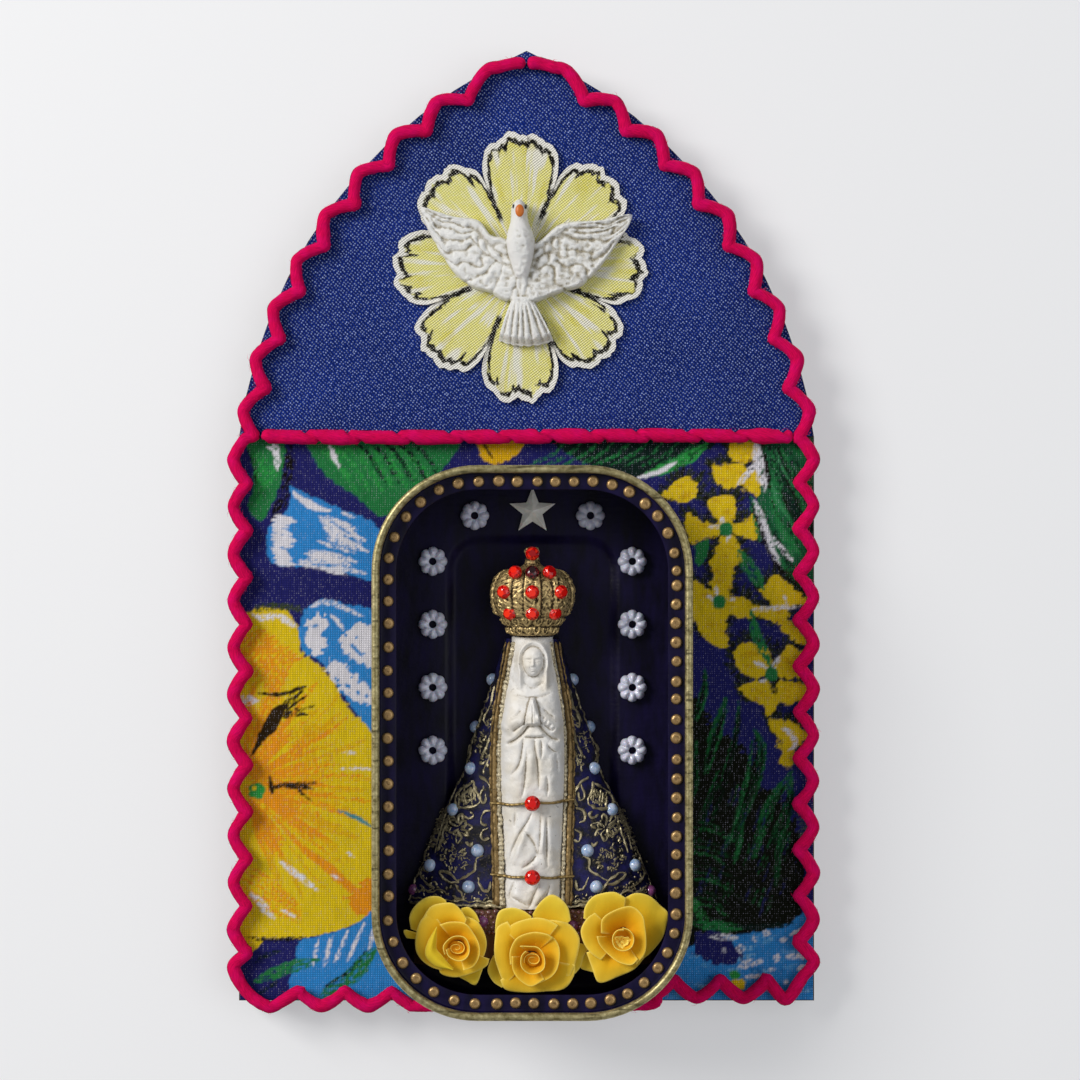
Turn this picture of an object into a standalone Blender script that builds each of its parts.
"""Tin chapel shrine: a wall panel shaped like a chapel front, covered with denim and printed cotton,
edged with wool yarn, that carries an opened fish tin with a crowned figure, beads and paper roses.

Metres, +Z up, front towards -Y. The origin is the middle of the back face, which lies on the wall."""

import math

import bmesh
import bpy
from mathutils import Vector

MM = 0.001

# Fits
GLUE_GAP = 0.3 * MM
SEAT_RISE = 0.15 * MM

# Panel of board, lining and cloth
PANEL_WIDTH = 114 * MM
PANEL_RISE = 76.6 * MM
ARCH_RADIUS = 97 * MM
ARCH_STEPS = 12
LINING_THICKNESS = 2.0 * MM
LINING_INSET = 0.6 * MM
BOARD_THICKNESS = 3.0 * MM
DENIM_THICKNESS = 0.8 * MM
PRINT_THICKNESS = 0.5 * MM
CLOTH_INSET = 0.3 * MM

# Wool yarn
YARN_DIAMETER = 2.5 * MM
YARN_PITCH = 9.3 * MM
YARN_TIP_INSET = 2.5 * MM
YARN_BEND_INSET = -0.15 * MM
YARN_BEND_SHARES = (0.27, 0.5, 0.73)
YARN_END_GAP = 0.4 * MM
YARN_APEX_DROP = 3.1 * MM
YARN_CORNER_CUT = 1.2 * MM
YARN_CORNER_RIGHT = 9.5 * MM
YARN_CORNER_LEFT = 12.3 * MM
YARN_UNDER_TIN = 4.0 * MM
DIVIDER_DIAMETER = 2.9 * MM
DIVIDER_STITCH = 9.6 * MM
DIVIDER_PINCH = 0.6

# Cloth flower and dove
FLOWER_RADIUS = 25.7 * MM
FLOWER_NOTCH = 16.0 * MM
FLOWER_PETALS = 8
FLOWER_PETAL_STEPS = 10
FLOWER_THICKNESS = 0.5 * MM
FLOWER_X = -1.2 * MM
FLOWER_LIFT = 33.4 * MM
DOVE_LIFT = 31.6 * MM
DOVE_LENGTH = 27.3 * MM
DOVE_HALF_SPAN = 21.0 * MM
DOVE_BODY_HALF = 3.3 * MM
DOVE_BODY_DEPTH = 5.8 * MM
DOVE_WING_ROOT = 3.2 * MM
DOVE_WING_TIP = 1.4 * MM
DOVE_TAIL_HALF = 5.4 * MM
DOVE_TAIL_DEPTH = 2.0 * MM

# Fish tin and the ring left from its lid
TIN_WIDTH = 60.5 * MM
TIN_HEIGHT = 104.6 * MM
TIN_DEPTH = 24.0 * MM
TIN_CORNER = 20.0 * MM
TIN_CORNER_STEPS = 6
TIN_WALL = 0.3 * MM
TIN_FOOT = 2.5 * MM
TIN_FOOT_STEPS = 3
TIN_X = 1.2 * MM
TIN_LIFT = 0.8 * MM
TIN_HEADROOM = 6.3 * MM
RECESS_INSET = 14.0 * MM
RECESS_SLOPE = 1.0 * MM
RECESS_DEPTH = 1.0 * MM
LID_SHEET = 0.3 * MM
LID_SKIRT = 3.0 * MM
LID_SINK = 2.4 * MM
LID_FLAT = 3.1 * MM
LID_CURL = 0.5 * MM

# Star and flower beads on the floor of the tin
STAR_RADIUS = 4.6 * MM
STAR_WAIST = 1.95 * MM
STAR_THICKNESS = 2.0 * MM
STAR_EDGE = 0.8 * MM
STAR_POINTS = 5
STAR_DROP = 8.4 * MM
BEAD_RADIUS = 2.9 * MM
BEAD_HOLE = 0.6 * MM
BEAD_THICKNESS = 2.0 * MM
BEAD_LOBES = 8
BEAD_LOBE_DEPTH = 0.45 * MM
BEAD_INSET = 10.6 * MM
BEAD_ROWS = 4
BEAD_PITCH = 12.4 * MM
BEAD_ROW_DROP = 18.3 * MM
BEAD_PAIR_DROP = 9.3 * MM
BEAD_PAIR_HALF = 11.4 * MM

# Figure: pedestal, mantle, gown, crown
HEM_LIFT = 19.3 * MM
MANTLE_SIDE_SPACE = 4.4 * MM
MANTLE_TOP_HALF = 6.6 * MM
MANTLE_HEM_DEPTH = 9.0 * MM
MANTLE_TOP_DEPTH = 7.0 * MM
MANTLE_TOP_STEP = 0.5 * MM
MANTLE_STEPS = 8
GOWN_BED = 3.0 * MM
GOWN_HEM_HALF = 7.3 * MM
GOWN_TOP_HALF = 4.4 * MM
GOWN_DEPTH = 8.0 * MM
HEAD_HALF = 3.3 * MM
HEAD_LENGTH = 9.0 * MM
HANDS_HALF = 1.7 * MM
HANDS_LENGTH = 7.5 * MM
HANDS_DROP = 15.0 * MM
HANDS_DEPTH = 1.8 * MM
CROWN_HEIGHT = 17.2 * MM
CROWN_RADIUS = 8.1 * MM
CROWN_HALF_DEPTH = 6.48 * MM
CROWN_SPACE = 0.3 * MM
CROWN_STEPS = 20
CROWN_STAR_SPACE = 2.4 * MM
PEDESTAL_HEIGHT = 10.5 * MM
PEDESTAL_DEPTH = 11.0 * MM
PEDESTAL_INSET = 2.0 * MM
PEDESTAL_CHAMFER = 3.0 * MM

# Stones, clasp bars and opal beads on the figure
STONE_RADIUS = 1.3 * MM
STONE_TABLE = 0.75 * MM
STONE_GIRDLE = 0.4 * MM
STONE_HEIGHT = 1.1 * MM
STONE_SIDES = 8
CLASP_HALF = 7.9 * MM
CLASP_WIRE = 0.9 * MM
CLASP_UPPER_LIFT = 20.6 * MM
CLASP_LOWER_LIFT = 6.4 * MM
OPAL_RADIUS = 1.25 * MM
OPAL_HEIGHT = 1.3 * MM

# Paper roses
MIDDLE_ROSE_RADIUS = 8.6 * MM
SIDE_ROSE_RADIUS = 8.1 * MM
ROSE_SPACE = 0.5 * MM
ROSE_FOOT = 2.6 * MM
ROSE_DROP = 5.6 * MM
ROSE_RING_SPACE = 0.35 * MM
ROSE_STEPS = 20

# Hanger on the back
HANGER_LIFT = 38.0 * MM
STRAP_WIDTH = 7.0 * MM
STRAP_LENGTH = 8.5 * MM
STRAP_THICKNESS = 0.5 * MM
BARREL_RADIUS = 0.95 * MM
BARREL_BORE = 0.68 * MM
RING_WIRE = 0.9 * MM
RING_HALF = 5.6 * MM
RING_HEIGHT = 11.0 * MM
RING_TOP_RADIUS = 3.4 * MM
RING_CORNER = 1.4 * MM
SCREW_SHANK = 0.9 * MM
SCREW_HEAD = 1.9 * MM
SCREW_HEAD_HEIGHT = 0.8 * MM
SCREW_BITE = 2.0 * MM
SCREW_DROP = 4.4 * MM
SCREW_STEPS = 16
WINDOW_MARGIN = 2.0 * MM

# Levels worked out from the sizes above
PANEL_SIDE = TIN_LIFT + TIN_HEIGHT + TIN_HEADROOM
PANEL_HEIGHT = PANEL_SIDE + PANEL_RISE
BOTTOM_Z = -PANEL_HEIGHT / 2
APEX_Z = PANEL_HEIGHT / 2
SPRING_Z = BOTTOM_Z + PANEL_SIDE
BOARD_BACK = -LINING_THICKNESS - GLUE_GAP
BOARD_FRONT = BOARD_BACK - BOARD_THICKNESS
CLOTH_BACK = BOARD_FRONT - GLUE_GAP
DENIM_FRONT = CLOTH_BACK - DENIM_THICKNESS
PRINT_FRONT = CLOTH_BACK - PRINT_THICKNESS
YARN_Y = DENIM_FRONT - GLUE_GAP - YARN_DIAMETER / 2
FLOWER_BACK = DENIM_FRONT - GLUE_GAP
FLOWER_FRONT = FLOWER_BACK - FLOWER_THICKNESS
DOVE_BACK = FLOWER_FRONT - GLUE_GAP
WALL_OUTER = LID_SHEET + GLUE_GAP
WALL_INNER = WALL_OUTER + TIN_WALL
LID_OUTER = WALL_INNER + GLUE_GAP
LID_INNER = LID_OUTER + LID_SHEET
LID_MOUTH = LID_INNER + LID_FLAT
TIN_Z = BOTTOM_Z + TIN_LIFT + TIN_HEIGHT / 2
TIN_BACK = PRINT_FRONT - GLUE_GAP
TIN_RIM = TIN_BACK - TIN_DEPTH
BAND_BACK = TIN_BACK - RECESS_DEPTH
BAND_FRONT = BAND_BACK - TIN_WALL
FLOOR_SEAT = BAND_FRONT - GLUE_GAP
STAR_Z = TIN_Z + TIN_HEIGHT / 2 - STAR_DROP
HEM_Z = TIN_Z - TIN_HEIGHT / 2 + HEM_LIFT
CROWN_Z = STAR_Z - STAR_RADIUS - CROWN_STAR_SPACE - CROWN_HEIGHT
GOWN_TOP = CROWN_Z - GLUE_GAP
GOWN_HEIGHT = GOWN_TOP - HEM_Z
GOWN_BACK = FLOOR_SEAT - GOWN_BED
MANTLE_HEIGHT = GOWN_HEIGHT - MANTLE_TOP_STEP
MANTLE_HEM_HALF = TIN_WIDTH / 2 - WALL_INNER - MANTLE_SIDE_SPACE
CROWN_Y = FLOOR_SEAT - CROWN_SPACE - CROWN_HALF_DEPTH
PEDESTAL_FRONT = FLOOR_SEAT - PEDESTAL_DEPTH
ROSE_BACK = PEDESTAL_FRONT - GLUE_GAP
ROSE_FRONT = TIN_RIM + LID_SINK + LID_SHEET + ROSE_RING_SPACE
ROSE_Z = HEM_Z - ROSE_DROP
HANGER_Z = SPRING_Z + HANGER_LIFT
STRAP_FRONT = BOARD_BACK + GLUE_GAP
STRAP_BACK = STRAP_FRONT + STRAP_THICKNESS
HANGER_Y = STRAP_FRONT + BARREL_RADIUS

MATERIALS = {
    "felt": ((0.035, 0.033, 0.035), 0.95, 0.0),
    "board": ((0.33, 0.20, 0.11), 0.8, 0.0),
    "denim": ((0.022, 0.043, 0.20), 0.9, 0.0),
    "print": ((0.30, 0.24, 0.05), 0.9, 0.0),
    "yarn": ((0.60, 0.0, 0.08), 0.95, 0.0),
    "flower": ((0.86, 0.80, 0.28), 0.9, 0.0),
    "dove": ((0.72, 0.70, 0.66), 0.4, 0.3),
    "tin": ((0.015, 0.012, 0.06), 0.35, 0.2),
    "lid": ((0.30, 0.22, 0.08), 0.4, 0.8),
    "star": ((0.48, 0.47, 0.46), 0.25, 0.2),
    "pearl": ((0.80, 0.80, 0.84), 0.2, 0.0),
    "gown": ((0.78, 0.75, 0.69), 0.6, 0.0),
    "mantle": ((0.012, 0.018, 0.07), 0.45, 0.0),
    "gilt": ((0.33, 0.22, 0.07), 0.35, 0.9),
    "stone": ((0.75, 0.02, 0.01), 0.1, 0.0),
    "opal": ((0.36, 0.50, 0.80), 0.2, 0.0),
    "rose": ((0.90, 0.66, 0.05), 0.7, 0.0),
    "brass": ((0.62, 0.46, 0.18), 0.3, 1.0),
    "steel": ((0.55, 0.55, 0.56), 0.3, 1.0),
}


def clear_scene():
    """Remove what the start-up scene holds."""
    for thing in list(bpy.data.objects):
        bpy.data.objects.remove(thing, do_unlink=True)


def material(kind):
    """The material of one kind of piece, made the first time it is asked for."""
    made = bpy.data.materials.get(kind)
    if made:
        return made
    colour, roughness, metallic = MATERIALS[kind]
    made = bpy.data.materials.new(kind)
    made.use_nodes = True
    shader = made.node_tree.nodes["Principled BSDF"]
    shader.inputs["Base Color"].default_value = (*colour, 1.0)
    shader.inputs["Roughness"].default_value = roughness
    shader.inputs["Metallic"].default_value = metallic
    return made


def place(name, data, kind):
    """Put a mesh or curve in the scene as a named object."""
    data.materials.append(material(kind))
    thing = bpy.data.objects.new(name, data)
    bpy.context.scene.collection.objects.link(thing)
    return thing


def loft(loops, ring=False):
    """Skin loops of points with quads. A ring joins its last loop to its first; else the ends are capped."""
    bm = bmesh.new()
    rows = []
    for loop in loops:
        rows.append([bm.verts.new(point) for point in loop])
    pairs = list(zip(rows, rows[1:]))
    if ring:
        pairs.append((rows[-1], rows[0]))
    for lower, upper in pairs:
        for here in range(len(lower)):
            there = (here + 1) % len(lower)
            bm.faces.new((lower[here], lower[there], upper[there], upper[here]))
    if not ring:
        bm.faces.new(rows[0])
        bm.faces.new(rows[-1])
    bmesh.ops.recalc_face_normals(bm, faces=bm.faces)
    return bm


def solid(name, bm, kind, sharp=40.0):
    """Turn a bmesh into a smooth-shaded object with sharp edges past an angle."""
    mesh = bpy.data.meshes.new(name)
    bm.to_mesh(mesh)
    bm.free()
    mesh.shade_smooth()
    mesh.set_sharp_from_angle(angle=math.radians(sharp))
    return place(name, mesh, kind)


def plate(name, outline, y_back, y_front, kind):
    """A flat piece with an outline in X and Z."""
    back = [(x, y_back, z) for x, z in outline]
    front = [(x, y_front, z) for x, z in outline]
    return solid(name, loft([back, front]), kind)


def combine(target, guide, operation):
    """Cut, join or keep with a guide body that is no piece of the shrine."""
    guide.hide_render = True
    guide.display_type = "WIRE"
    change = target.modifiers.new(operation.lower(), "BOOLEAN")
    change.operation = operation
    change.object = guide


def tube(name, points, diameter, kind, closed=False, radii=None):
    """A round cord or wire along points."""
    curve = bpy.data.curves.new(name, "CURVE")
    curve.dimensions = "3D"
    curve.bevel_depth = diameter / 2
    curve.bevel_resolution = 2
    curve.use_fill_caps = True
    spline = curve.splines.new("POLY")
    spline.points.add(len(points) - 1)
    spline.use_cyclic_u = closed
    for index, point in enumerate(points):
        spline.points[index].co = (*point, 1.0)
        if radii:
            spline.points[index].radius = radii[index]
    return place(name, curve, kind)


def bezier(start, pull, end, steps):
    """Points of a quadratic curve, without its last point."""
    points = []
    for step in range(steps):
        t = step / steps
        points.append(tuple((1 - t) ** 2 * a + 2 * t * (1 - t) * b + t * t * c for a, b, c in zip(start, pull, end)))
    return points


def blend(pairs, at):
    """Straight interpolation in a list of (place, value) pairs."""
    for (low, first), (high, second) in zip(pairs, pairs[1:]):
        if at <= high:
            return first + (second - first) * (at - low) / (high - low)
    return pairs[-1][1]


def mirrored(right):
    """A closed outline from its right half, listed from the top down."""
    left = [(-x, z) for x, z in reversed(right) if abs(x) > GLUE_GAP]
    return right + left


# Panel


def arch_centre():
    """Centre of the right-hand arc, through the springing and the apex."""
    half = PANEL_WIDTH / 2
    chord = math.hypot(half, PANEL_RISE)
    reach = math.sqrt(ARCH_RADIUS**2 - (chord / 2) ** 2)
    return half / 2 - PANEL_RISE / chord * reach, SPRING_Z + PANEL_RISE / 2 - half / chord * reach


def arch_side(inset, floor):
    """Points of the right-hand arc from the apex down to a level."""
    centre_x, centre_z = arch_centre()
    radius = ARCH_RADIUS - inset
    top = math.acos(-centre_x / radius)
    low = math.asin((floor - centre_z) / radius)
    points = []
    for step in range(ARCH_STEPS + 1):
        angle = top + (low - top) * step / ARCH_STEPS
        points.append((centre_x + radius * math.cos(angle), centre_z + radius * math.sin(angle)))
    return points


def panel_outline(inset):
    """The whole chapel front, moved in from its edge."""
    foot = (PANEL_WIDTH / 2 - inset, BOTTOM_Z + inset)
    return mirrored(arch_side(inset, SPRING_Z) + [foot])


def make_panel():
    """Lining, board and the two cloths."""
    lining = plate("felt_lining", panel_outline(LINING_INSET), 0.0, -LINING_THICKNESS, "felt")
    combine(lining, hanger_window(), "DIFFERENCE")
    board = plate("backing_board", panel_outline(0.0), BOARD_BACK, BOARD_FRONT, "board")
    combine(board, screw_pilot(), "DIFFERENCE")
    arch = mirrored(arch_side(CLOTH_INSET, SPRING_Z + GLUE_GAP / 2))
    plate("denim_panel", arch, CLOTH_BACK, DENIM_FRONT, "denim")
    side = PANEL_WIDTH / 2 - CLOTH_INSET
    sheet = mirrored([(side, SPRING_Z - GLUE_GAP / 2), (side, BOTTOM_Z + CLOTH_INSET)])
    plate("printed_panel", sheet, CLOTH_BACK, PRINT_FRONT, "print")


# Yarn


def arch_length():
    """Length of one arc along the edge of the board."""
    return ARCH_RADIUS * 2 * math.asin(math.hypot(PANEL_WIDTH / 2, PANEL_RISE) / 2 / ARCH_RADIUS)


def edge_point(along, inset):
    """A point at a distance from the apex down the right-hand edge, moved in from that edge."""
    arc = arch_length()
    half = PANEL_WIDTH / 2
    if along <= arc:
        centre_x, centre_z = arch_centre()
        angle = math.atan2(APEX_Z - centre_z, -centre_x) - along / ARCH_RADIUS
        radius = ARCH_RADIUS - inset
        return centre_x + radius * math.cos(angle), centre_z + radius * math.sin(angle)
    if along <= arc + PANEL_SIDE:
        return half - inset, SPRING_Z - (along - arc)
    return half - (along - arc - PANEL_SIDE), BOTTOM_Z + inset


def yarn_waves(start, length):
    """Waves from one inner tip to the last before the end of a run."""
    count = round(length / YARN_PITCH)
    pitch = length / count
    points = []
    for wave in range(count):
        points.append(edge_point(start + wave * pitch, YARN_TIP_INSET))
        for share in YARN_BEND_SHARES:
            points.append(edge_point(start + (wave + share) * pitch, YARN_BEND_INSET))
    return points


def yarn_half(corner_run):
    """Route of the yarn from the apex down the right-hand edge to the middle of the bottom edge."""
    arc = arch_length()
    corner = arc + PANEL_SIDE
    tip_z = APEX_Z - YARN_APEX_DROP
    points = [(YARN_END_GAP / 2, tip_z), (YARN_DIAMETER / 2, tip_z)]
    points += yarn_waves(0.0, arc)[1:]
    points += yarn_waves(arc, PANEL_SIDE - YARN_CORNER_RIGHT)
    points.append(edge_point(corner - YARN_CORNER_RIGHT, YARN_TIP_INSET))
    points.append(edge_point(corner - YARN_CORNER_RIGHT / 2, YARN_BEND_INSET))
    points.append((PANEL_WIDTH / 2 - YARN_CORNER_CUT, BOTTOM_Z + YARN_CORNER_CUT))
    points.append(edge_point(corner + corner_run / 2, YARN_BEND_INSET))
    run = corner_run
    while PANEL_WIDTH / 2 - run > TIN_WIDTH / 2 - YARN_UNDER_TIN:
        points.append(edge_point(corner + run, YARN_TIP_INSET))
        for share in YARN_BEND_SHARES:
            points.append(edge_point(corner + run + share * YARN_PITCH, YARN_BEND_INSET))
        run += YARN_PITCH
    under = TIN_Z - TIN_HEIGHT / 2 + WALL_OUTER - GLUE_GAP - YARN_DIAMETER / 2
    points.append((points[-1][0] / 2, under))
    return points


def make_yarn():
    """The wavy edging in one length, and the stitched divider across the springing."""
    right = yarn_half(YARN_CORNER_RIGHT)
    left = [(-x, z) for x, z in reversed(yarn_half(YARN_CORNER_LEFT))]
    tube("edge_yarn", [(x, YARN_Y, z) for x, z in right + left], YARN_DIAMETER, "yarn")
    half = PANEL_WIDTH / 2 - YARN_TIP_INSET - YARN_DIAMETER / 2 - 2 * GLUE_GAP
    stitches = round(2 * half / DIVIDER_STITCH)
    y = DENIM_FRONT - GLUE_GAP - DIVIDER_DIAMETER / 2
    points = []
    radii = []
    for stitch in range(stitches):
        for share, swell in ((0.03, DIVIDER_PINCH), (0.25, 1.0), (0.75, 1.0), (0.97, DIVIDER_PINCH)):
            points.append((-half + 2 * half * (stitch + share) / stitches, y, SPRING_Z))
            radii.append(swell)
    tube("divider_yarn", points, DIVIDER_DIAMETER, "yarn", radii=radii)


# Cloth flower and dove


def make_flower():
    """The cut-out cloth flower on the denim."""
    outline = []
    count = FLOWER_PETALS * FLOWER_PETAL_STEPS
    for step in range(count):
        angle = 2 * math.pi * step / count
        swell = abs(math.cos(FLOWER_PETALS * angle / 2)) ** 0.5
        radius = FLOWER_NOTCH + (FLOWER_RADIUS - FLOWER_NOTCH) * swell
        outline.append((FLOWER_X + radius * math.sin(angle), SPRING_Z + FLOWER_LIFT + radius * math.cos(angle)))
    plate("flower_applique", outline, FLOWER_BACK, FLOWER_FRONT, "flower")


def flat_back_section(half, depth, back, z, power=2.0, steps=10, centre_x=0.0):
    """A level section with a straight back and a rounded front."""
    points = []
    for step in range(steps + 1):
        angle = math.pi * step / steps
        across = math.copysign(abs(math.cos(angle)) ** (2 / power), math.cos(angle))
        forward = max(math.sin(angle), 0.0) ** (2 / power)
        points.append((centre_x + half * across, back - depth * forward, z))
    return points


def dove_wing(side, middle):
    """One spread wing, thick at its root and thin at its tip."""
    tip = (DOVE_HALF_SPAN, DOVE_LENGTH * 0.47)
    shoulder = (DOVE_BODY_HALF * 0.4, DOVE_LENGTH * 0.24)
    root = (DOVE_BODY_HALF * 0.4, -DOVE_LENGTH * 0.14)
    outline = bezier(shoulder, (DOVE_HALF_SPAN * 0.55, DOVE_LENGTH * 0.26), tip, 5)
    outline += bezier(tip, (DOVE_HALF_SPAN * 0.78, -DOVE_LENGTH * 0.1), root, 7)
    outline.append(root)
    back = []
    front = []
    for x, z in outline:
        thick = DOVE_WING_ROOT + (DOVE_WING_TIP - DOVE_WING_ROOT) * x / DOVE_HALF_SPAN
        back.append((FLOWER_X + side * x, DOVE_BACK, middle + z))
        front.append((FLOWER_X + side * x, DOVE_BACK - thick, middle + z))
    return loft([back, front])


def make_dove():
    """The cast dove: body with head, two wings and a fanned tail, in one casting."""
    middle = SPRING_Z + DOVE_LIFT
    shape = (
        (0.52, 0.2, 0.35),
        (0.49, 0.45, 0.6),
        (0.43, 0.58, 0.76),
        (0.36, 0.52, 0.74),
        (0.27, 0.8, 0.9),
        (0.1, 1.0, 1.0),
        (-0.06, 0.92, 0.98),
        (-0.2, 0.62, 0.74),
        (-0.3, 0.45, 0.45),
    )
    sections = []
    for level, wide, deep in shape:
        z = middle + level * DOVE_LENGTH
        sections.append(
            flat_back_section(wide * DOVE_BODY_HALF, deep * DOVE_BODY_DEPTH, DOVE_BACK, z, centre_x=FLOWER_X)
        )
    dove = solid("dove", loft(sections), "dove")
    for side, word in ((-1, "left"), (1, "right")):
        combine(dove, solid("guide_wing_" + word, dove_wing(side, middle), "dove"), "UNION")
    low = -0.48 * DOVE_LENGTH
    tail = [(DOVE_BODY_HALF * 0.35, -0.16 * DOVE_LENGTH)]
    tail += [(DOVE_TAIL_HALF, low + 0.09 * DOVE_LENGTH), (DOVE_TAIL_HALF * 0.55, low + 0.02 * DOVE_LENGTH)]
    tail.append((0.0, low))
    outline = [(FLOWER_X + x, middle + z) for x, z in mirrored(tail)]
    fan = plate("guide_tail", outline, DOVE_BACK, DOVE_BACK - DOVE_TAIL_DEPTH, "dove")
    combine(dove, fan, "UNION")


# Tin


def tin_loop(inset, y):
    """A rounded rectangle inside the outline of the tin."""
    half_x = TIN_WIDTH / 2 - inset
    half_z = TIN_HEIGHT / 2 - inset
    radius = max(TIN_CORNER - inset, TIN_FOOT)
    points = []
    for quarter, (across, up) in enumerate(((1, 1), (-1, 1), (-1, -1), (1, -1))):
        for step in range(TIN_CORNER_STEPS + 1):
            angle = math.pi / 2 * (quarter + step / TIN_CORNER_STEPS)
            x = across * (half_x - radius) + radius * math.cos(angle)
            z = up * (half_z - radius) + radius * math.sin(angle)
            points.append((TIN_X + x, y, TIN_Z + z))
    return points


def make_tin():
    """The drawn body of the tin and the ring of its lid, hooked over the top of the wall."""
    floor = RECESS_INSET + RECESS_SLOPE
    outer = [tin_loop(floor, TIN_BACK), tin_loop(RECESS_INSET, BAND_BACK)]
    inner = [tin_loop(floor, TIN_BACK - TIN_WALL), tin_loop(RECESS_INSET, BAND_FRONT)]
    for step in range(TIN_FOOT_STEPS + 1):
        angle = math.pi / 2 * step / TIN_FOOT_STEPS
        inset = WALL_OUTER + TIN_FOOT
        outer.append(tin_loop(inset - TIN_FOOT * math.sin(angle), BAND_BACK - TIN_FOOT * (1 - math.cos(angle))))
        bend = TIN_FOOT - TIN_WALL
        inner.append(tin_loop(inset - bend * math.sin(angle), BAND_FRONT - bend * (1 - math.cos(angle))))
    top = TIN_RIM + LID_SHEET + GLUE_GAP
    outer.append(tin_loop(WALL_OUTER, top))
    inner.append(tin_loop(WALL_INNER, top))
    solid("tin_body", loft(outer + inner[::-1]), "tin", sharp=50.0)
    middle = LID_INNER / 2
    profile = (
        (0.0, LID_SKIRT),
        (0.0, LID_CURL),
        (middle / 3, LID_CURL / 4),
        (middle, 0.0),
        (LID_INNER - middle / 3, LID_CURL / 4),
        (LID_INNER, LID_CURL),
        (LID_INNER, LID_SINK),
        (LID_MOUTH, LID_SINK),
        (LID_MOUTH, LID_SINK + LID_SHEET),
        (LID_OUTER, LID_SINK + LID_SHEET),
        (LID_OUTER, LID_SHEET),
        (LID_SHEET, LID_SHEET),
        (LID_SHEET, LID_SKIRT),
    )
    ring = [tin_loop(inset, TIN_RIM + sink) for inset, sink in profile]
    solid("tin_lid_ring", loft(ring, ring=True), "lid", sharp=50.0)


# Star and flower beads


def make_star():
    """A faceted star with a flat back."""
    back = []
    edge = []
    crest = []
    for step in range(2 * STAR_POINTS):
        angle = math.pi * step / STAR_POINTS
        radius = STAR_WAIST if step % 2 else STAR_RADIUS
        x = TIN_X + radius * math.sin(angle)
        z = STAR_Z + radius * math.cos(angle)
        back.append((x, FLOOR_SEAT, z))
        edge.append((x, FLOOR_SEAT - STAR_EDGE, z))
        tiny = STAR_EDGE / 4
        crest.append((TIN_X + tiny * math.sin(angle), FLOOR_SEAT - STAR_THICKNESS, STAR_Z + tiny * math.cos(angle)))
    solid("star_bead", loft([back, edge, crest]), "star", sharp=5.0)


def flower_bead_mesh():
    """A lobed bead with a hole, its back in the plane of Z = 0."""
    loops = []
    steps = 2 * BEAD_LOBES
    hole = BEAD_HOLE
    body = BEAD_RADIUS - hole
    profile = ((0.0, 0.0, 0.0), (0.85, 0.0, 0.8), (1.0, 0.3, 1.0), (0.75, 0.85, 0.8), (0.3, 1.0, 0.2), (0.0, 0.75, 0.0))
    for out, up, lobed in profile:
        loop = []
        for step in range(steps):
            angle = 2 * math.pi * step / steps
            radius = hole + body * out - (step % 2) * lobed * BEAD_LOBE_DEPTH
            loop.append((radius * math.cos(angle), radius * math.sin(angle), up * BEAD_THICKNESS))
        loops.append(loop)
    bm = loft(loops, ring=True)
    mesh = bpy.data.meshes.new("flower_bead")
    bm.to_mesh(mesh)
    bm.free()
    mesh.shade_smooth()
    mesh.materials.append(material("pearl"))
    return mesh


def seat(name, mesh, point, normal):
    """Place a shared mesh with its flat back on a point, facing along a direction."""
    thing = bpy.data.objects.new(name, mesh)
    thing.location = point
    thing.rotation_euler = Vector(normal).to_track_quat("Z", "Y").to_euler()
    bpy.context.scene.collection.objects.link(thing)
    return thing


def make_flower_beads():
    """Two columns of flower beads and a pair beside the star."""
    mesh = flower_bead_mesh()
    top = TIN_Z + TIN_HEIGHT / 2
    number = 0
    for side in (-1, 1):
        places = [(BEAD_PAIR_HALF, top - BEAD_PAIR_DROP)]
        for row in range(BEAD_ROWS):
            places.append((TIN_WIDTH / 2 - BEAD_INSET, top - BEAD_ROW_DROP - row * BEAD_PITCH))
        for across, z in places:
            number += 1
            seat(f"flower_bead_{number:02d}", mesh, (TIN_X + side * across, FLOOR_SEAT, z), (0, -1, 0))


# Figure


def mantle_half(z):
    """Half width of the mantle at a level."""
    share = (z - HEM_Z) / MANTLE_HEIGHT
    return MANTLE_HEM_HALF + (MANTLE_TOP_HALF - MANTLE_HEM_HALF) * share


def mantle_depth(z):
    """Depth of the mantle at a level."""
    share = (z - HEM_Z) / MANTLE_HEIGHT
    return MANTLE_HEM_DEPTH + (MANTLE_TOP_DEPTH - MANTLE_HEM_DEPTH) * share


def mantle_front(across, z):
    """Y of the mantle's front at a distance from its middle."""
    share = min(abs(across) / mantle_half(z), 1.0)
    return FLOOR_SEAT - mantle_depth(z) * math.sqrt(1 - share**2)


def gown_half(z):
    """Half width of the gown at a level."""
    share = (z - HEM_Z) / GOWN_HEIGHT
    return GOWN_HEM_HALF + (GOWN_TOP_HALF - GOWN_HEM_HALF) * share


def gown_depth(z):
    """How far the gown stands out of its bed: full at the skirt and arms, less at the neck and hood."""
    swell = ((0.0, 1.0), (0.4, 0.95), (0.62, 1.0), (0.78, 0.9), (0.85, 0.72), (0.92, 0.78), (1.0, 0.7))
    return GOWN_DEPTH * blend(swell, (z - HEM_Z) / GOWN_HEIGHT)


def gown_front(across, z):
    """Y of the gown's front at a distance from its middle."""
    share = min(abs(across) / gown_half(z), 1.0)
    return GOWN_BACK - gown_depth(z) * (1 - share**4) ** 0.25


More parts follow.
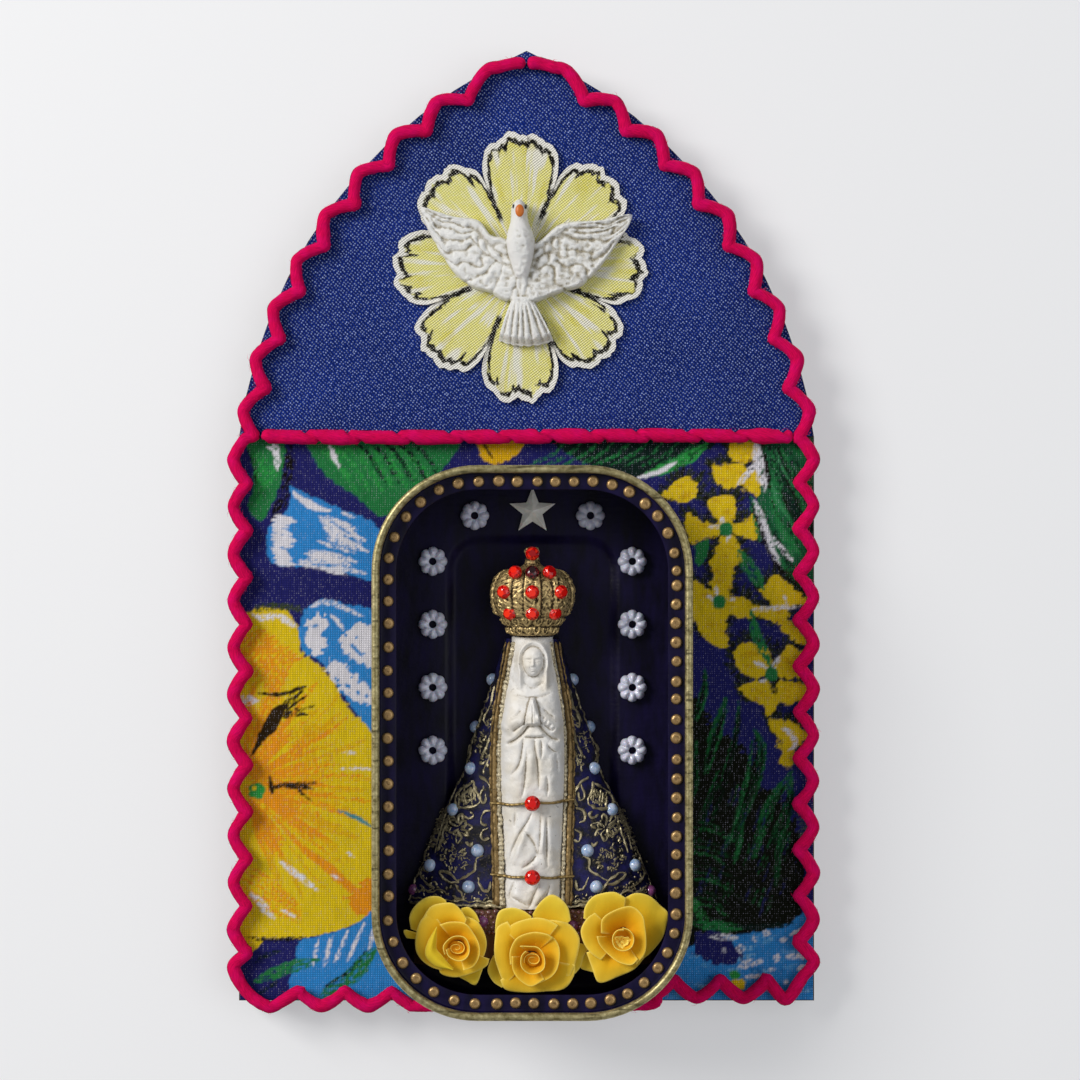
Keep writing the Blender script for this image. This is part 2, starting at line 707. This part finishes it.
def make_gown():
    """The white gown with hood, face and folded hands, in one casting."""
    sections = []
    for share in (0.0, 0.2, 0.4, 0.62, 0.78, 0.85, 0.92, 1.0):
        z = HEM_Z + share * GOWN_HEIGHT
        sections.append(
            flat_back_section(gown_half(z), gown_depth(z), GOWN_BACK, z, power=4.0, steps=12, centre_x=TIN_X)
        )
    gown = solid("gown_figure", loft(sections), "gown")
    bm = bmesh.new()
    bmesh.ops.create_uvsphere(bm, u_segments=14, v_segments=9, radius=1.0)
    bmesh.ops.scale(bm, vec=(HEAD_HALF, HEAD_HALF, HEAD_LENGTH / 2), verts=bm.verts)
    head_z = GOWN_TOP - HEAD_LENGTH / 2 - MANTLE_TOP_STEP
    head_y = gown_front(0.0, head_z) + HEAD_HALF * 0.7
    bmesh.ops.translate(bm, vec=(TIN_X, head_y, head_z), verts=bm.verts)
    combine(gown, solid("guide_head", bm, "gown"), "UNION")
    palm_z = GOWN_TOP - HANDS_DROP
    palm = []
    for level, wide, deep in ((-1.0, 0.9, 0.5), (-0.3, 1.0, 1.0), (0.5, 0.6, 0.9), (1.0, 0.25, 0.4)):
        z = palm_z + level * HANDS_LENGTH / 2
        back = gown_front(0.0, palm_z) + HANDS_DEPTH
        depth = deep * HANDS_DEPTH + HANDS_DEPTH
        palm.append(flat_back_section(wide * HANDS_HALF, depth, back, z, steps=6, centre_x=TIN_X))
    combine(gown, solid("guide_hands", loft(palm), "gown"), "UNION")


def make_mantle():
    """The wide mantle behind the gown, with a channel that the gown is set in."""
    sections = []
    for step in range(MANTLE_STEPS + 1):
        z = HEM_Z + MANTLE_HEIGHT * step / MANTLE_STEPS
        sections.append(flat_back_section(mantle_half(z), mantle_depth(z), FLOOR_SEAT, z, steps=18, centre_x=TIN_X))
    mantle = solid("mantle", loft(sections), "mantle")
    channel = []
    for z in (HEM_Z - GOWN_HEIGHT / 4, GOWN_TOP + GOWN_HEIGHT / 4):
        half = gown_half(z) + GLUE_GAP
        front = FLOOR_SEAT - 2 * MANTLE_HEM_DEPTH
        corners = ((half, GOWN_BACK + GLUE_GAP), (half, front), (-half, front), (-half, GOWN_BACK + GLUE_GAP))
        channel.append([(TIN_X + x, y, z) for x, y in corners])
    combine(mantle, solid("guide_channel", loft(channel), "mantle"), "DIFFERENCE")


def make_pedestal():
    """The block under the hem that the roses are stuck on."""
    half = MANTLE_HEM_HALF - PEDESTAL_INSET
    level = [(half, FLOOR_SEAT), (half, PEDESTAL_FRONT + PEDESTAL_CHAMFER), (half - PEDESTAL_CHAMFER, PEDESTAL_FRONT)]
    outline = level + [(-x, y) for x, y in reversed(level)]
    top = HEM_Z - GLUE_GAP
    loops = []
    for z in (top - PEDESTAL_HEIGHT, top):
        loops.append([(TIN_X + x, y, z) for x, y in outline])
    solid("pedestal", loft(loops), "gilt")


CROWN_SHAPE = (
    (0.0, 0.44),
    (0.09, 0.56),
    (0.13, 0.52),
    (0.21, 0.66),
    (0.34, 0.85),
    (0.54, 1.0),
    (0.70, 0.94),
    (0.82, 0.66),
    (0.84, 0.3),
    (0.82, 0.1),
    (0.88, 0.08),
    (0.94, 0.13),
    (1.0, 0.04),
)
CROWN_KNOB = 0.94
CROWN_KNOB_SHARE = 0.13


def crown_point(angle, share, radius_share):
    """A point on the crown at an angle from its front."""
    x = TIN_X + CROWN_RADIUS * radius_share * math.sin(angle)
    y = CROWN_Y - CROWN_HALF_DEPTH * radius_share * math.cos(angle)
    return Vector((x, y, CROWN_Z + share * CROWN_HEIGHT))


def make_crown():
    """The domed crown with its band and knob."""
    loops = []
    for share, radius_share in CROWN_SHAPE:
        angles = [2 * math.pi * step / CROWN_STEPS for step in range(CROWN_STEPS)]
        loops.append([crown_point(angle, share, radius_share) for angle in angles])
    solid("crown", loft(loops), "gilt", sharp=50.0)


def stone_mesh():
    """A round faceted stone, its back in the plane of Z = 0."""
    loops = []
    for radius, z in ((STONE_RADIUS, 0.0), (STONE_RADIUS, STONE_GIRDLE), (STONE_TABLE, STONE_HEIGHT)):
        angles = [2 * math.pi * step / STONE_SIDES for step in range(STONE_SIDES)]
        loops.append([(radius * math.cos(angle), radius * math.sin(angle), z) for angle in angles])
    bm = loft(loops)
    mesh = bpy.data.meshes.new("stone")
    bm.to_mesh(mesh)
    bm.free()
    mesh.materials.append(material("stone"))
    return mesh


def crown_seat(angle, share):
    """Where a stone sits on the dome, and the direction it faces."""
    step = 0.01
    here = crown_point(angle, share, blend(CROWN_SHAPE, share))
    aside = crown_point(angle + step, share, blend(CROWN_SHAPE, share)) - here
    above = crown_point(angle, share + step, blend(CROWN_SHAPE, share + step)) - here
    normal = aside.cross(above).normalized()
    return here + normal * (GLUE_GAP + SEAT_RISE), normal


def make_stones():
    """Red stones on the crown and the two clasp bars with their stones."""
    mesh = stone_mesh()
    number = 0
    for share, spread in ((0.29, 42.0), (0.52, 42.0), (0.74, 28.0)):
        for column in (-1, 0, 1):
            number += 1
            point, normal = crown_seat(math.radians(column * spread), share)
            seat(f"crown_stone_{number:02d}", mesh, point, normal)
    knob = crown_point(0.0, CROWN_KNOB, CROWN_KNOB_SHARE) - Vector((0, GLUE_GAP, 0))
    seat(f"crown_stone_{number + 1:02d}", mesh, knob, (0, -1, 0))
    for word, lift in (("upper", CLASP_UPPER_LIFT), ("lower", CLASP_LOWER_LIFT)):
        z = HEM_Z + lift
        points = []
        for step in range(13):
            across = CLASP_HALF * (step / 6 - 1)
            lead = min(gown_front(across, z), mantle_front(across, z))
            points.append((TIN_X + across, lead - GLUE_GAP - SEAT_RISE - CLASP_WIRE / 2, z))
        tube("clasp_bar_" + word, points, CLASP_WIRE, "gilt")
        front = points[6][1] - CLASP_WIRE / 2 - GLUE_GAP
        seat("clasp_stone_" + word, mesh, (TIN_X, front, z), (0, -1, 0))


def opal_mesh():
    """A small domed bead, its back in the plane of Z = 0."""
    loops = []
    for share in (0.0, 0.35, 0.7, 0.95):
        radius = OPAL_RADIUS * math.sqrt(1 - share**2)
        angles = [2 * math.pi * step / 8 for step in range(8)]
        loops.append([(radius * math.cos(angle), radius * math.sin(angle), share * OPAL_HEIGHT) for angle in angles])
    bm = loft(loops)
    mesh = bpy.data.meshes.new("opal")
    bm.to_mesh(mesh)
    bm.free()
    mesh.shade_smooth()
    mesh.materials.append(material("opal"))
    return mesh


def make_opals():
    """Opal beads on both wings of the mantle, given by share of its height and of its width there."""
    mesh = opal_mesh()
    places = ((0.84, 0.77), (0.66, 0.83), (0.51, 0.75), (0.355, 0.82), (0.21, 0.5), (0.145, 0.88), (0.075, 0.52))
    step = OPAL_RADIUS / 4
    number = 0
    for side in (-1, 1):
        for height, width in places:
            number += 1
            z = HEM_Z + height * MANTLE_HEIGHT
            across = width * mantle_half(z)
            slope_x = (mantle_front(across + step, z) - mantle_front(across - step, z)) / (2 * step)
            slope_z = (mantle_front(across, z + step) - mantle_front(across, z - step)) / (2 * step)
            normal = Vector((side * slope_x, -1.0, slope_z)).normalized()
            point = Vector((TIN_X + side * across, mantle_front(across, z), z))
            seat(f"mantle_bead_{number:02d}", mesh, point + normal * (GLUE_GAP + SEAT_RISE), normal)


# Roses


def make_rose(name, x, radius):
    """A paper rose: a bud inside two rings of petals, narrowing to a foot on the pedestal."""
    shape = (
        (0.0, 1.0, 0.0),
        (0.55, 0.66, 0.1),
        (0.92, 0.28, 0.6),
        (1.0, 0.06, 1.0),
        (0.72, 0.34, 0.8),
        (0.66, 0.02, 0.8),
        (0.42, 0.3, 0.6),
        (0.34, 0.0, 0.5),
        (0.16, 0.22, 0.3),
        (0.07, 0.08, 0.0),
    )
    depth = ROSE_BACK - ROSE_FRONT
    petals = 5
    loops = []
    for out, sunk, lobed in shape:
        loop = []
        for step in range(ROSE_STEPS):
            angle = 2 * math.pi * step / ROSE_STEPS
            wave = 0.5 - 0.5 * math.cos(petals * (angle + 2.2 * out))
            reach = ROSE_FOOT + (radius - ROSE_FOOT) * out if sunk > 0.9 or out > 0.5 else radius * out
            reach *= 1 - 0.14 * lobed * wave
            loop.append((x + reach * math.sin(angle), ROSE_FRONT + sunk * depth, ROSE_Z + reach * math.cos(angle)))
        loops.append(loop)
    solid(name, loft(loops), "rose", sharp=60.0)


def make_roses():
    """Three roses in a row in front of the hem."""
    step = MIDDLE_ROSE_RADIUS + ROSE_SPACE + SIDE_ROSE_RADIUS
    make_rose("rose_left", TIN_X - step, SIDE_ROSE_RADIUS)
    make_rose("rose_middle", TIN_X, MIDDLE_ROSE_RADIUS)
    make_rose("rose_right", TIN_X + step, SIDE_ROSE_RADIUS)


# Hanger


def rod(name, radius, start, end, kind):
    """A straight round body between two points."""
    bm = bmesh.new()
    span = Vector(end) - Vector(start)
    bmesh.ops.create_cone(
        bm, cap_ends=True, segments=SCREW_STEPS, radius1=radius, radius2=radius, depth=span.length
    )
    bmesh.ops.rotate(bm, verts=bm.verts, matrix=span.to_track_quat("Z", "Y").to_matrix())
    bmesh.ops.translate(bm, verts=bm.verts, vec=(Vector(start) + Vector(end)) / 2)
    return solid(name, bm, kind)


def block(name, low, high, kind):
    """A box between two corners."""
    outline = [(low[0], low[2]), (high[0], low[2]), (high[0], high[2]), (low[0], high[2])]
    return plate(name, outline, high[1], low[1], kind)


def hanger_window():
    """The window in the lining that leaves room for the hanger."""
    half = RING_HALF + RING_WIRE / 2 + WINDOW_MARGIN
    low = HANGER_Z - max(STRAP_LENGTH, RING_HEIGHT) - WINDOW_MARGIN
    high = HANGER_Z + RING_HEIGHT + RING_WIRE / 2 + WINDOW_MARGIN
    depth = 2 * LINING_THICKNESS
    return block("guide_window", (-half, -depth, low), (half, depth, high), "felt")


def screw_pilot():
    """The hole in the board for the hanger's screw."""
    z = HANGER_Z - SCREW_DROP
    deep = BOARD_BACK - SCREW_BITE - GLUE_GAP
    return rod("guide_pilot", SCREW_SHANK + GLUE_GAP, (0, deep, z), (0, LINING_THICKNESS, z), "board")


def make_strap():
    """The strap of the hanger, rolled into a barrel at its top and held by one screw."""
    half = STRAP_WIDTH / 2
    low = (-half, STRAP_FRONT, HANGER_Z - STRAP_LENGTH)
    strap = block("hanger_strap", low, (half, STRAP_BACK, HANGER_Z - BARREL_BORE), "brass")
    ends = ((-half, HANGER_Y, HANGER_Z), (half, HANGER_Y, HANGER_Z))
    combine(strap, rod("guide_barrel", BARREL_RADIUS, *ends, "brass"), "UNION")
    past = ((-2 * half, HANGER_Y, HANGER_Z), (2 * half, HANGER_Y, HANGER_Z))
    combine(strap, rod("guide_bore", BARREL_BORE, *past, "brass"), "DIFFERENCE")
    z = HANGER_Z - SCREW_DROP
    through = ((0, 2 * BOARD_BACK, z), (0, LINING_THICKNESS, z))
    combine(strap, rod("guide_strap_hole", SCREW_SHANK + GLUE_GAP, *through, "brass"), "DIFFERENCE")


def make_screw():
    """The round-headed screw through the strap into the board."""
    under = STRAP_BACK + GLUE_GAP
    tip = BOARD_BACK - SCREW_BITE
    profile = (
        (SCREW_SHANK * 0.4, tip),
        (SCREW_SHANK, tip + SCREW_SHANK),
        (SCREW_SHANK, under),
        (SCREW_HEAD, under),
        (SCREW_HEAD * 0.85, under + SCREW_HEAD_HEIGHT * 0.6),
        (SCREW_HEAD * 0.4, under + SCREW_HEAD_HEIGHT),
    )
    loops = []
    for radius, y in profile:
        angles = [2 * math.pi * step / SCREW_STEPS for step in range(SCREW_STEPS)]
        loops.append([(radius * math.cos(a), y, HANGER_Z - SCREW_DROP + radius * math.sin(a)) for a in angles])
    solid("hanger_screw", loft(loops), "steel")


def arc(centre_x, centre_z, radius, start, end, steps):
    """Points of an arc, angles in degrees."""
    points = []
    for step in range(steps + 1):
        angle = math.radians(start + (end - start) * step / steps)
        points.append((centre_x + radius * math.cos(angle), centre_z + radius * math.sin(angle)))
    return points


def make_ring():
    """The wire ring of the hanger, its straight side in the barrel and its origin on that axis."""
    rise = RING_HEIGHT - RING_TOP_RADIUS
    base = RING_HALF - RING_CORNER
    lean = math.degrees(math.atan2(base - RING_TOP_RADIUS + RING_CORNER, rise - RING_CORNER))
    right = arc(base, RING_CORNER, RING_CORNER, -90.0, lean, 4)
    right += arc(0.0, rise, RING_TOP_RADIUS, lean, 90.0, 5)
    outline = right + [(-x, z) for x, z in reversed(right[:-1])]
    points = [(x, 0.0, z) for x, z in outline]
    ring = tube("hanger_ring", points, RING_WIRE, "steel", closed=True)
    ring.location = (0, HANGER_Y, HANGER_Z)


def main():
    """Build every piece of the shrine."""
    clear_scene()
    make_panel()
    make_yarn()
    make_flower()
    make_dove()
    make_tin()
    make_star()
    make_flower_beads()
    make_gown()
    make_mantle()
    make_pedestal()
    make_crown()
    make_stones()
    make_opals()
    make_roses()
    make_strap()
    make_screw()
    make_ring()


main()
